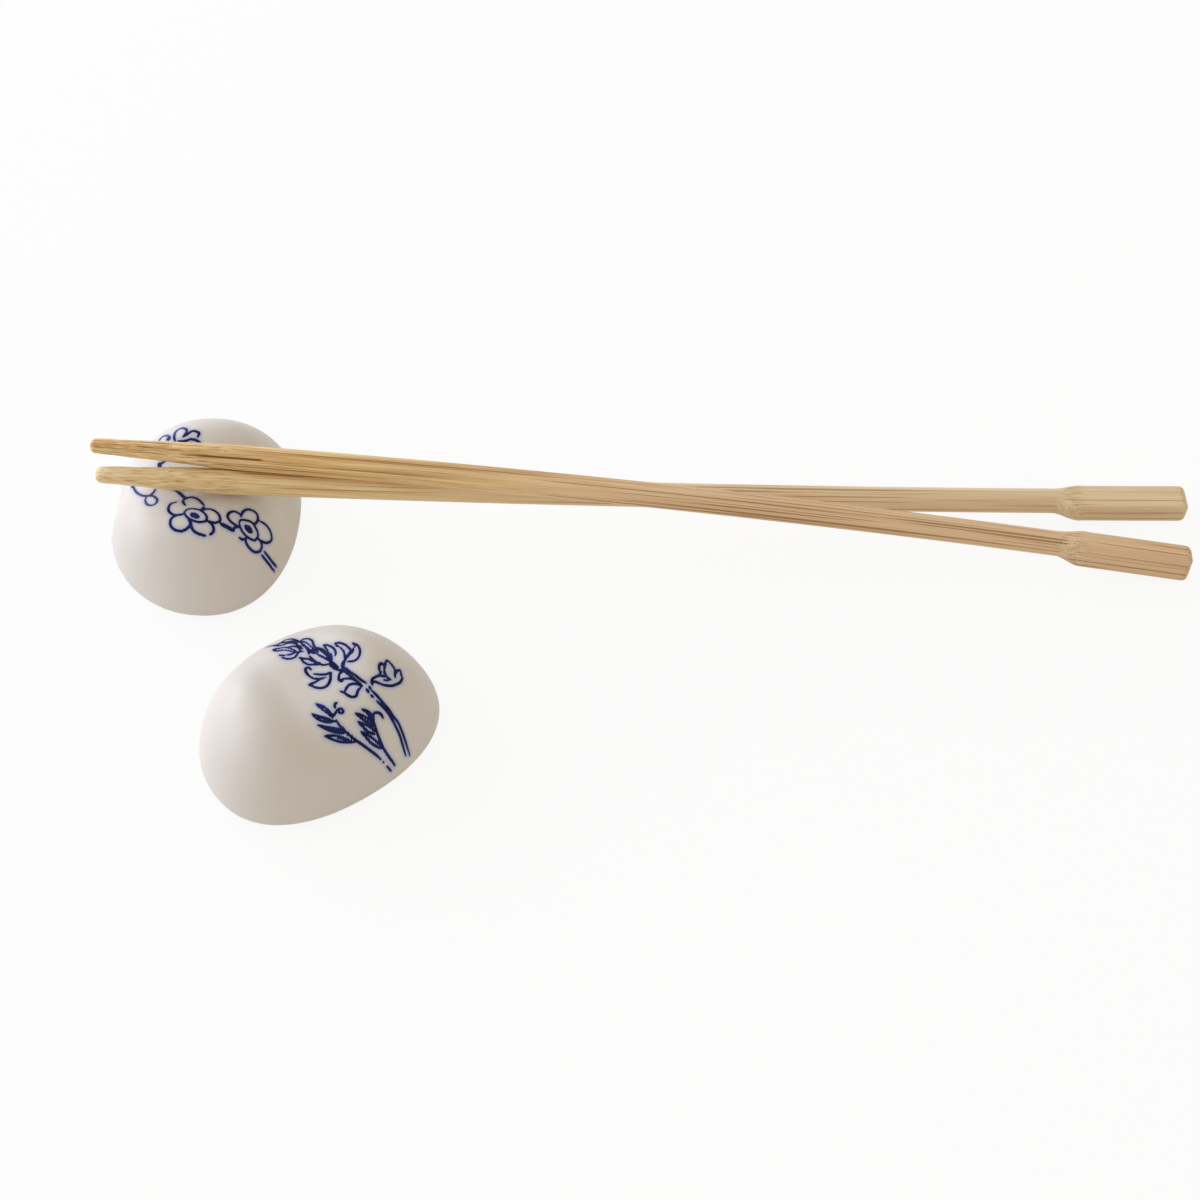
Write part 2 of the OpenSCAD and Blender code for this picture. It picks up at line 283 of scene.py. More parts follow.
    # Brush points are dropped on the dome from above, and each place takes the stroke nearest to it
    points = addNode(tree, "GeometryNodeRaycast", {"Target Geometry": dome,
                     "Source Position": addNode(tree, "ShaderNodeVectorMath",
                                                [place, (0, 0, brush["dropHeight"])]),
                     "Ray Direction": (0, 0, -1),
                     "Ray Length": brush["dropReach"]}).node.outputs["Hit Position"]
    strokes = addNode(tree, "GeometryNodeSetPosition", {"Geometry": size["Geometry"], "Position": points})
    nearest = addNode(tree, "GeometryNodeSampleNearest", {"Geometry": strokes, "Sample Position": place},
                      domain="POINT")
    strokePlace = addNode(tree, "GeometryNodeSampleIndex", {"Geometry": strokes, "Value": place,
                          "Index": nearest}, data_type="FLOAT_VECTOR", domain="POINT")
    halfStroke = addNode(tree, "GeometryNodeInputNamedAttribute", {"Name": "halfWidth"}, data_type="FLOAT")
    strokeWidth = addNode(tree, "GeometryNodeSampleIndex", {"Geometry": strokes, "Value": halfStroke,
                          "Index": nearest}, data_type="FLOAT", domain="POINT")
    away = addNode(tree, "ShaderNodeVectorMath", [place, strokePlace], operation="DISTANCE").node
    brushwork = addNode(tree, remap, [away.outputs["Value"],
                        addNode(tree, calc, [strokeWidth, brush["softEdge"]], operation="SUBTRACT"),
                        addNode(tree, calc, [strokeWidth, brush["softEdge"]], operation="ADD"), 1.0, 0.0],
                        interpolation_type="SMOOTHSTEP")
    # In the firing the cobalt bled a little way into the glaze, and tinted the narrow places inside leaves
    sharpBleed = addNode(tree, remap, [away.outputs["Value"], strokeWidth,
                         addNode(tree, calc, [strokeWidth, brush["bleedReach"]], operation="ADD"),
                         1.0, 0.0])
    bleed = addNode(tree, "GeometryNodeBlurAttribute",
                    {"Value": sharpBleed, "Iterations": brush["bleedRounds"]}, data_type="FLOAT")
    painted = dome
    for name, value in (("brushwork", brushwork), ("glazeBleed", bleed)):
        painted = addNode(tree, "GeometryNodeStoreNamedAttribute", {"Geometry": painted, "Name": name,
                          "Value": value}, data_type="FLOAT", domain="POINT")

    # The flat foot runs in to the kiln vent, which opens into the hollow
    turnHere = addNode(tree, "GeometryNodeInputNamedAttribute", {"Name": "outlineTurn"}, data_type="FLOAT")
    edgeFaces = addNode(tree, "GeometryNodeInputMeshEdgeNeighbors")
    openEdge = addNode(tree, calc, [edgeFaces, 1.0, 0.5], operation="COMPARE")
    vent, wall = size["Vent Radius"], size["Wall"]
    hollowRadius, hollowHeight = size["Hollow Radius"], size["Hollow Height"]
    shell = addNode(tree, "GeometryNodeSetMaterial", {"Geometry": painted, "Material": porcelain})
    for radius, height in ((vent, 0.0), (vent, wall), (hollowRadius, wall), (hollowRadius, hollowHeight),
                           (0.0, hollowHeight)):
        grown = addNode(tree, "GeometryNodeExtrudeMesh", {"Mesh": shell, "Selection": openEdge,
                        "Offset Scale": 0.0}, mode="EDGES").node.outputs
        bare = addNode(tree, "GeometryNodeSetMaterial", {"Geometry": grown["Mesh"],
                       "Selection": grown["Side"], "Material": clay})
        ringX = addNode(tree, calc, [addNode(tree, calc, [turnHere], operation="COSINE"), radius,
                        size["Vent Offset"]], operation="MULTIPLY_ADD")
        ringY = addNode(tree, calc, [addNode(tree, calc, [turnHere], operation="SINE"), radius],
                        operation="MULTIPLY")
        shell = addNode(tree, "GeometryNodeSetPosition", {"Geometry": bare, "Selection": grown["Top"],
                        "Position": addNode(tree, "ShaderNodeCombineXYZ", [ringX, ringY, height])})
    closed = addNode(tree, "GeometryNodeMergeByDistance", {"Geometry": shell, "Distance": joinDistance})
    footed = addNode(tree, "GeometryNodeSetShadeSmooth", {"Geometry": closed})
    turned = addNode(tree, "GeometryNodeTransform", {"Geometry": footed,
                     "Translation": addNode(tree, "ShaderNodeCombineXYZ",
                                            [size["Right"], size["Front"], 0.0]),
                     "Rotation": addNode(tree, "ShaderNodeCombineXYZ", [0.0, 0.0, size["Turn"]])})
    real = addNode(tree, "GeometryNodeRealizeInstances", {"Geometry": turned})
    addNode(tree, "NodeGroupOutput", {"Geometry": real})
    return tree


# Traditional blue-and-white motifs in plan millimetres, the pebble's length along x: each stroke is
# (width share, places that it runs through), and a wash, below zero width, lays no line and only bleeds
wash = -0.4
plumTwig = (
    # Blossom over the far crest
    (1, ((9.1, 7.4), (10.2, 7.8), (11.7, 7.7), (12.5, 6.9), (12.4, 6), (11.7, 5.3), (10.9, 5.3),
          (10, 5.8))),
    (1, ((10, 5.8), (10.6, 4.9), (11.3, 4.1), (11.2, 3.2), (10.7, 2.5), (9.8, 2.7))),
    (1, ((9, 6.8), (8.9, 5.5), (9.3, 4.2), (9.2, 3.2), (8.7, 2))),
    (0.9, ((10, 11.2), (11, 10.7), (11.2, 10), (10.9, 9.3), (10.1, 8.7), (9.5, 8.9))),
    (1.7, ((10, 9.2), (9.7, 9))),
    (0.9, ((7.7, 6.2), (8.3, 5.4), (8.4, 4.1), (8.1, 2.8), (7.4, 2.3), (6.8, 3.1), (6.7, 4.5),
          (7.1, 5.9), (7.7, 6.2))),
    (2.4, ((7.6, 4.7), (7.5, 4))),
    (1, ((7.4, 6.3), (7.2, 7.6), (6.5, 8.4), (5.5, 7.8), (5.3, 6.5), (5.9, 5.3), (6.6, 4.9))),
    (1, ((7.1, 2.3), (6.7, 1.2), (6, 0.4), (5.1, 0.9), (5, 2.2), (5.6, 3.3), (6.5, 3.9))),
    (1.2, ((5.3, 7.5), (4.5, 8.7), (3.5, 9.5))),
    # Bent twig that runs under the chopsticks, with a bud
    (1.8, ((3.7, 9.9), (2.8, 9.6))),
    (1.1, ((2.2, 9.4), (0, 8.5), (-2.5, 6.8), (-4.3, 4.6))),
    (0.9, ((-0.1, 15.7), (-1.2, 14.8), (-2.3, 14.3), (-3.8, 13.3), (-4.9, 12), (-5.2, 10.6),
          (-4.5, 9.8), (-3.6, 9.5))),
    (0.9, ((-6.4, 11.2), (-5.4, 11), (-5.3, 10.1), (-5.8, 9.2), (-6.9, 8.5), (-8, 8.6), (-8.4, 9.5),
          (-7.7, 10.6), (-6.4, 11.2))),
    (1.3, ((-4.3, 4.6), (-4.9, 3.9), (-5.8, 3.1), (-6.3, 2.4))),
    # Open blossom, petal by petal round its eye
    (0.9, ((-11.4, 2), (-10.2, 1.4), (-9.9, 0.2), (-10.2, -1.1), (-11.1, -2.3), (-12, -2.8),
          (-12.9, -2.6), (-13.3, -1.6), (-13.2, -0.4), (-12.6, 1), (-11.4, 2))),
    (2.6, ((-11.6, 0.2), (-12, -0.4), (-12.1, -0.9))),
    (1, ((-8.9, 2.2), (-7.6, 2.9), (-6.7, 2.9), (-5.9, 2.2), (-5.8, 1), (-6.6, -0.2), (-8.4, -1.6))),
    (1, ((-8.9, -1.7), (-10.2, -1.3))),
    (1, ((-7.7, 4.3), (-8.4, 5.3), (-9.8, 5.5), (-11, 5.1), (-11.9, 4), (-11.9, 2.7), (-11.5, 1.7))),
    (1, ((-13.1, 0.7), (-13.9, 0.3), (-14.7, 0.7), (-15.3, 1.8), (-15.1, 3.3), (-14.3, 4.3),
          (-13.3, 4.5), (-12.5, 4.1), (-11.9, 3))),
    (1, ((-13.4, 0.2), (-14.4, 0), (-15.2, -0.6), (-15.6, -1.7), (-15.7, -3))),
    (1, ((-12.7, -2.9), (-13.1, -3.8), (-13.9, -4.4), (-14.7, -4.4), (-15.3, -3.8))),
    (1, ((-10.4, -1.4), (-9.5, -2.4), (-9.5, -3.6), (-10.3, -4.8), (-11.5, -5.4), (-12.3, -5.2),
          (-12.8, -4.3), (-12.7, -3.2))),
    # Second blossom, turned away
    (1.6, ((-12.6, -5.7), (-12.8, -6.9), (-13, -8.2))),
    (1, ((-12.9, -8.1), (-12.3, -8.3), (-11.6, -9.2))),
    (0.9, ((-10.9, -9), (-10, -9.2), (-9.5, -10.1), (-9.3, -11.2), (-9.9, -12), (-10.9, -12.6),
          (-12, -12.5), (-12.7, -11.9), (-12.8, -10.7), (-12.2, -9.7), (-10.9, -9))),
    (2.6, ((-10.9, -10.4), (-11.1, -10.9), (-11.3, -11.3))),
    (1, ((-11.6, -9.3), (-11.6, -8.3), (-11.2, -7.3), (-10.4, -6.7), (-9.3, -6.8), (-8.4, -7.6),
          (-8.5, -8.6), (-9, -9.2))),
    (1, ((-9.1, -9.1), (-7.7, -9.3), (-6.6, -10), (-6.3, -11), (-6.6, -11.8), (-7.5, -12.2),
          (-8.6, -12.1), (-9.7, -11.6))),
    (1, ((-8, -12.6), (-7.9, -13.6), (-8.3, -14.4), (-9.1, -14.9), (-10.1, -15), (-11.3, -14.3),
          (-11.8, -13.4), (-11.8, -12.7))),
    (1, ((-13.2, -10.6), (-14, -10.7), (-14.5, -11.3), (-14.6, -12.2), (-13.9, -13.1), (-12.8, -13.5),
          (-12.1, -13.3), (-11.8, -12.7))),
    (1, ((-13.8, -9.4), (-13.8, -10), (-13.1, -10.7))),
    # Cut end of the twig
    (1.05, ((-14.1, -13.6), (-14.3, -14.3), (-14.4, -15.2), (-14.5, -15.5))),
    (1.05, ((-13.2, -14), (-13.4, -14.8), (-13.5, -15.5), (-13.4, -16.1))),
    (0.8, ((-14.3, -15.6), (-14.4, -15.8))),
)

leafySpray = (
    # Nodding tip of the flower spike
    (0.84, ((-0.7, 16.1), (0.1, 15.4), (1.1, 14.6), (2.8, 14.8), (3.8, 14.2), (4.3, 12.9), (4.5, 11.7),
          (4.6, 10.4), (4.5, 9.1), (4.1, 8))),
    (0.84, ((0.3, 14.9), (1.2, 13.7), (2.6, 13.2), (3.4, 12.3), (3.7, 10.9), (3.8, 9.7))),
    (0.84, ((-0.6, 13.8), (-0.3, 12.7), (0.9, 11.9), (1.6, 10.9), (2.3, 9.8), (3.5, 9))),
    (0.84, ((-0.5, 13.9), (0.6, 13), (1.7, 12.1), (2.2, 10.7), (2.5, 9.7))),
    (0.84, ((-0.7, 11.3), (0.2, 10.4), (1.2, 9.9), (2.4, 9.8))),
    (0.84, ((-0.6, 10.3), (0.1, 9.2), (1.2, 8.7), (2, 9), (2.8, 9.4))),
    (0.84, ((1.9, 12.1), (2.9, 11.5), (3.4, 10.3), (3.2, 9.4))),
    (1, ((1.4, 14.8), (2.5, 13.9), (3.5, 13.2), (4.1, 11.9))),
    # Florets above and below the stem
    (0.84, ((4.7, 12), (5.6, 12), (6.3, 11.2), (6.4, 10.2), (6, 9), (5.8, 7.8), (5.6, 6.8))),
    (0.84, ((4.8, 11.8), (5.2, 10.9), (5.3, 9.7), (5.3, 8.4), (5.2, 7.2))),
    (0.84, ((4.3, 10.6), (4.6, 9.7), (4.7, 8.3), (4, 7.7))),
    (0.84, ((4.7, 8.9), (4.8, 7.5), (5.3, 6.3), (5.7, 5.2), (6.1, 3.7))),
    (0.84, ((3.8, 7.2), (3.9, 5.9), (4.2, 4.6), (4.8, 3.6), (5.6, 3.1))),
    (0.84, ((2, 8.1), (2.6, 7.3), (3.3, 6.6), (3.6, 5.6))),
    (0.84, ((2.1, 7.6), (2.1, 6.5), (2.5, 5.5), (3.4, 4.8), (4.4, 4.1))),
    (1.4, ((3.8, 6.4), (3.9, 5.3), (4.4, 4.3))),
    (0.84, ((6.1, 8), (6.6, 6.9), (6.7, 5.6), (6.6, 4.3), (6.2, 3.4))),
    (0.84, ((7.4, 7.6), (8, 6.6), (8.3, 5.4), (8.1, 4.2), (7.6, 3.6))),
    (0.84, ((7.4, 7.5), (7.3, 5.8), (7.1, 4.4), (6.5, 3.2))),
    (0.84, ((6.1, 7.8), (6.4, 6.3), (6.5, 4.9), (6.3, 3.7))),
    # Large petals at the foot of the spike
    (0.84, ((9.2, 6.1), (9.9, 5.4), (10.4, 4), (10.5, 2.7), (10.2, 2))),
    (0.84, ((9.1, 6), (9.2, 4.7), (9.3, 3.3), (8.9, 2.2), (8.4, 1.4))),
    (0.84, ((10.2, 2.1), (9.3, 1.8), (8.6, 1.5))),
    (0.84, ((11.8, 3.6), (12.1, 2.6), (12, 1.5), (11.3, 0.4), (10.3, -0.2), (9.4, 0), (8.6, 0.7))),
    (1, ((11.8, 3.5), (11.4, 2.5), (10.7, 1.9), (9.6, 1.7), (8.6, 1.4))),
    # Stem and its leaves
    (1.45, ((8.5, 1.3), (7.6, 0.9), (7.1, -0.3))),
    (0.9, ((7.5, 0.1), (7.7, -1.4), (8.1, -2.9), (8.4, -4.3), (8.8, -5.4))),
    (0.9, ((7, -0.4), (7.2, -1.8), (7.5, -3.4), (7.7, -4.5), (7.9, -5.4))),
    (1, ((5.7, 3.1), (5.9, 1.6), (6.4, 0.5), (7, -0.4))),
    (1, ((6.4, 3.4), (6.4, 2), (6.6, 1))),
    (1.1, ((6.1, 3.3), (6.1, 2.2), (6.2, 1.4))),
    (1, ((6.9, -0.5), (6.2, -0.2), (5.5, -0.8), (5.2, -1.4), (5.4, -1.9), (5.9, -1.7), (6.5, -2.1),
          (7.2, -2.9), (7.7, -4.1))),
    (1, ((4.6, -4.2), (5.4, -3.7), (6.2, -3.6), (6.9, -4), (7.4, -4.6), (7.8, -5.4))),
    (1, ((3.9, -3.7), (4.3, -4.3), (4.6, -5.3), (5, -6), (5.8, -6.3), (6.6, -5.7), (7.5, -5.4))),
    (1, ((2.2, 4.1), (2.1, 4.8), (1.5, 5), (1.1, 4.2), (1.1, 3.2), (1.5, 2), (2.3, 1.2), (3.5, 0.7))),
    (1, ((2.1, 2.9), (2.9, 2.1), (3.9, 1.4), (4.7, 1.2), (4.4, 0.5), (3.6, -0.4), (2.7, -1),
          (1.6, -1), (0.7, -0.3), (0.2, 0.7), (0, 1.2), (1, 1.1), (2.2, 1))),
    # Lower stem in two lines
    (1, ((8.9, -6.3), (8.9, -6.8))),
    (1, ((8.2, -6.4), (8.2, -7.1))),
    (1, ((8.3, -7.8), (8.4, -8.3))),
    (0.95, ((8.9, -7.2), (9.2, -8.5), (9.5, -10), (9.9, -11.4), (10.1, -12.6), (10.4, -13.5),
          (10.4, -14.6), (10.3, -15.7), (10.2, -16.7), (10.2, -17.2))),
    (0.95, ((8.6, -9.2), (9, -10.4), (9.4, -11.7), (9.5, -12.8), (9.6, -13.9), (9.6, -15),
          (9.4, -16.2), (9.3, -17), (9.3, -17.2))),
    # Lily bud
    (1, ((12.2, -5.5), (12.5, -4.8), (12.9, -4), (13.4, -3.5), (13.8, -3.5), (13.9, -4.2))),
    (1, ((13, -5.5), (13.3, -4.9), (14, -4.2), (15.2, -3.2), (15.5, -3.7), (15.6, -4.5), (15.5, -5.4),
          (14.9, -6.2), (14.6, -6.9))),
    (1, ((13.3, -5.1), (13, -5.9), (13.1, -6.5), (13.3, -6.9), (12.6, -7), (12.2, -6.6))),
    (1, ((15.1, -6.2), (15.9, -5.6), (16.6, -5.5), (16.3, -6.2), (16, -7), (15.2, -7.7), (14.1, -8),
          (12.8, -8), (11.6, -7.4), (10.8, -6.5), (10.2, -6), (9.6, -6.3))),
    (1, ((9.6, -6.2), (10.1, -5.5), (10.9, -5.4), (11.8, -5.5), (12.4, -5.9), (13, -6.2))),
    # First fern frond: pointed leaves, stem and curl
    (0.84, ((-1.6, -3.4), (-1.3, -5.1), (-0.9, -6.5), (-0.6, -7.8))),
    (0.84, ((-1.5, -3.5), (-0.7, -4.9), (-0.5, -6.4), (-0.5, -7.7))),
    (0.84, ((-3.5, -4.9), (-2.8, -5.9), (-1.8, -7.1), (-1.1, -8.2), (-0.5, -8.8))),
    (0.84, ((-3.5, -5.1), (-3.2, -6.5), (-2.4, -7.7), (-1.3, -8.5))),
    (0.7, ((-3, -5.9), (-2.3, -6.9), (-1.5, -8.1))),
    (0.84, ((-3.9, -7.5), (-2.8, -8.6), (-1.6, -9.6), (-0.6, -10.5), (-0.2, -11.3))),
    (0.84, ((-3.8, -7.6), (-2.9, -9.2), (-1.9, -10.3), (-0.5, -11.3))),
    (0.7, ((-3.2, -8.6), (-2.1, -9.7), (-1, -10.7))),
    (0.84, ((-4, -9.9), (-2.6, -10.6), (-1.5, -11.4), (-0.7, -12.2), (0, -13))),
    (0.84, ((-3.9, -10.1), (-3, -11.2), (-1.9, -12.2), (-0.5, -12.9), (0.6, -13.3))),
    (0.7, ((-2.1, -11.3), (-1.2, -12), (-0.4, -12.8))),
    (1, ((-0.4, -8.5), (-0.3, -10.1), (0.1, -11.5), (0.8, -13), (1.6, -14.1), (2.4, -15.1),
          (3.3, -16.1), (3.9, -16.8))),
    (0.84, ((4.2, -17.1), (4.3, -17.2))),
    (0.84, ((4.6, -17.6), (4.9, -17.9), (5.2, -18.1))),
    (0.9, ((1.9, -5.5), (1.3, -5.6), (0.9, -6.3))),
    (0.9, ((-0.3, -7.6), (0.6, -7.1), (1.2, -6.9), (1.8, -7), (1.9, -7.6), (1.5, -7.9), (1.1, -7.6),
          (1.1, -7.2))),
    # Second fern frond
    (0.95, ((5.2, -9.1), (5.7, -10.1), (5.8, -11.2), (5.8, -12.1))),
    (0.8, ((5.4, -9.2), (6.1, -10.1), (6.2, -11), (6, -11.8))),
    (0.95, ((3.7, -9.2), (4.1, -10.4), (4.7, -11.5), (5.3, -12.6))),
    (0.8, ((3.9, -9.3), (4.7, -10.2), (5.3, -11.3), (5.7, -12.3))),
    (0.95, ((3.2, -10.7), (3.5, -11.9), (3.9, -12.9), (4.9, -13.7))),
    (0.8, ((3.3, -10.8), (4.2, -11.8), (4.8, -12.6), (5.3, -13.5))),
    (0.95, ((2.7, -12.4), (3, -13.5), (3.4, -14.5), (4.2, -15.3), (5.1, -15.8))),
    (0.85, ((2.8, -12.5), (3.6, -13.4), (4.3, -14.3), (4.9, -15.3))),
    (1, ((5.9, -12), (6.4, -11.1), (6.8, -10.8), (7.4, -10.9), (7.9, -11.3), (8, -12.1))),
    (1, ((5.9, -12), (5.5, -13.4), (5.3, -14.8), (5.3, -15.9), (5.7, -16.9), (6.1, -17.5),
          (6.3, -17.8))),
    # Thin washes inside the petals
    (wash, ((11.4, 2.9), (11.2, 1.7), (10.6, 0.9), (9.5, 0.9))),
    (wash, ((9.2, 4.9), (9, 3.4), (8.2, 2))),
    (wash, ((7.6, 6.6), (7.3, 5))),
    (wash, ((5, 6.9), (5.1, 5.8), (5.4, 4.7))),
    (wash, ((0.6, 0.5), (1.9, 0.5), (3.4, 0.6))),
    (wash, ((1.4, 3.4), (1.6, 2.2))),
    (wash, ((5.1, -4.8), (6, -4.9), (7, -4.9))),
    (wash, ((6.1, -0.9), (6.8, -2))),
    (wash, ((13.1, -4.5), (12.9, -5.3))),
    (wash, ((15, -3.8), (14.8, -4.9), (14.3, -5.9))),
    (wash, ((11, -6.3), (11.9, -7), (13.2, -7.3), (14.9, -7))),
    (wash, ((0.1, 10.6), (0.6, 9.6), (1.5, 9.2))),
    (wash, ((0.6, 12.7), (1.4, 11.7), (2.1, 10.5))),
    (wash, ((5, 10.9), (5.2, 9.7), (5.2, 8.6))),
)


def stroke(knots, width):
    # Round dabs (x, y, half width) along a smooth curve through the knots, thinner at both ends
    points = [Vector(k) for k in knots]
    padded = [2 * points[0] - points[1]] + points + [2 * points[-1] - points[-2]]
    path = []
    for a, b, c, d in zip(padded, padded[1:], padded[2:], padded[3:]):
        steps = max(2, int((c - b).length / brush["dabStep"]))
        for i in range(steps):
            t = i / steps
            path.append(0.5 * (2 * b + (c - a) * t + (2 * a - 5 * b + 4 * c - d) * t * t
                               + (3 * b - a - 3 * c + d) * t ** 3))
    path.append(points[-1])
    dabs = []
    for i, p in enumerate(path):
        swell = min(1, brush["endSwell"] * sin(pi * i / (len(path) - 1)))
        share = brush["endShare"] + (1 - brush["endShare"]) * swell
        dabs.append((p.x, p.y, width * brush["lineWidth"] / 2 * share))
    return dabs


def drawn(strokes):
    # All dabs of a drawing: its strokes are (width share, knots)
    return [dab for width, knots in strokes for dab in stroke(knots, width)]


def dabMesh(name, dabs):
    # Loose points, each with the half width of its dab
    mesh = bpy.data.meshes.new(name)
    mesh.from_pydata([(x * mm, y * mm, 0) for x, y, half in dabs], [], [])
    widths = mesh.attributes.new("halfWidth", "FLOAT", "POINT")
    widths.data.foreach_set("value", [half * mm for x, y, half in dabs])
    return mesh


paintedRests = {
    "rest": (plumTwig, {"Turn": radians(86), "Waist": 0.09}),
    "spare_rest": (leafySpray, {"Turn": radians(37), "Right": 26.4 * mm, "Front": -54.8 * mm}),
}
pebble = pebbleTree(glazedPorcelain(porcelainFinish), bareClayFoot(porcelainFinish))
for node, (drawing, layout) in paintedRests.items():
    dabs = dabMesh(node + "Dabs", drawn(drawing))
    piece = grownMesh(node + "Porcelain", pebble, {**pebbleSize, **layout}, dabs)
    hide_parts(node)
    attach(piece, node)


# Chopsticks: bamboo, planed round, one snapped pair, with a rectangular handle and a pared tip
stickSize = {
    "Length": 229 * mm, "Body": 5.2 * mm, "Tip": 2.9 * mm, "Tip Offset": 0.5 * mm, "Tip Length": 29 * mm,
    "Handle Width": 6.4 * mm, "Handle Thickness": 4.6 * mm, "Handle Length": 23 * mm,
    "Corner": 0.6 * mm, "Shoulder": 6 * mm, "Rounding": 1.1 * mm, "Handle Rounding": 1.7 * mm,
    "Paring": 0.1 * mm, "Taper Power": 1, "Swell": 0, "Warp": 0, "Fluff Turn": 0,
    "Reach": 0, "Across": 0, "Turn": 0, "Roll": 0, "Height": 0, "Pitch": 0,
}
stickMesh = {"along": 700, "around": 56, "endCrowding": 0.85}
stickWork = {
    "swellBefore": 7 * mm, "swellReach": 15 * mm, "swellFrontShare": 0.7,      # before the taper's end
    "leastCorner": 0.2 * mm,
    "paredRange": (24 * mm, 36 * mm, 1.0, 0.0),                                # from the tip
    "shoulderInside": 3.5 * mm, "shoulderRange": (1.5 * mm, 4 * mm, 1.0, 0.0),
    "fluffRange": (0.45, 0.9, 0.0, 1.0),
    "flatsAlong": 0.18 / mm, "flatsAround": 1.6, "flatsRange": (0.3, 0.7, -1.0, 1.0),
}
# Each stick's height and pitch are those of its solid, which lies where it touches what is under it
laidSticks = {
    "lower_chopstick": {"Reach": 21.1 * mm, "Across": -3.6 * mm, "Turn": radians(2.7), "Roll": 0,
                        "Warp": -1.8 * mm, "Height": 20.5185 * mm, "Pitch": radians(5.03177),
                        "Taper Power": 0.6, "Swell": 0.32 * mm, "Fluff Turn": radians(152)},
    "upper_chopstick": {"Reach": 22.4 * mm, "Across": -0.2 * mm, "Turn": radians(-3.3), "Roll": radians(85),
                        "Warp": 3.3 * mm, "Height": 22.9606 * mm, "Pitch": radians(5.29529),
                        "Fluff Turn": radians(66)},
}


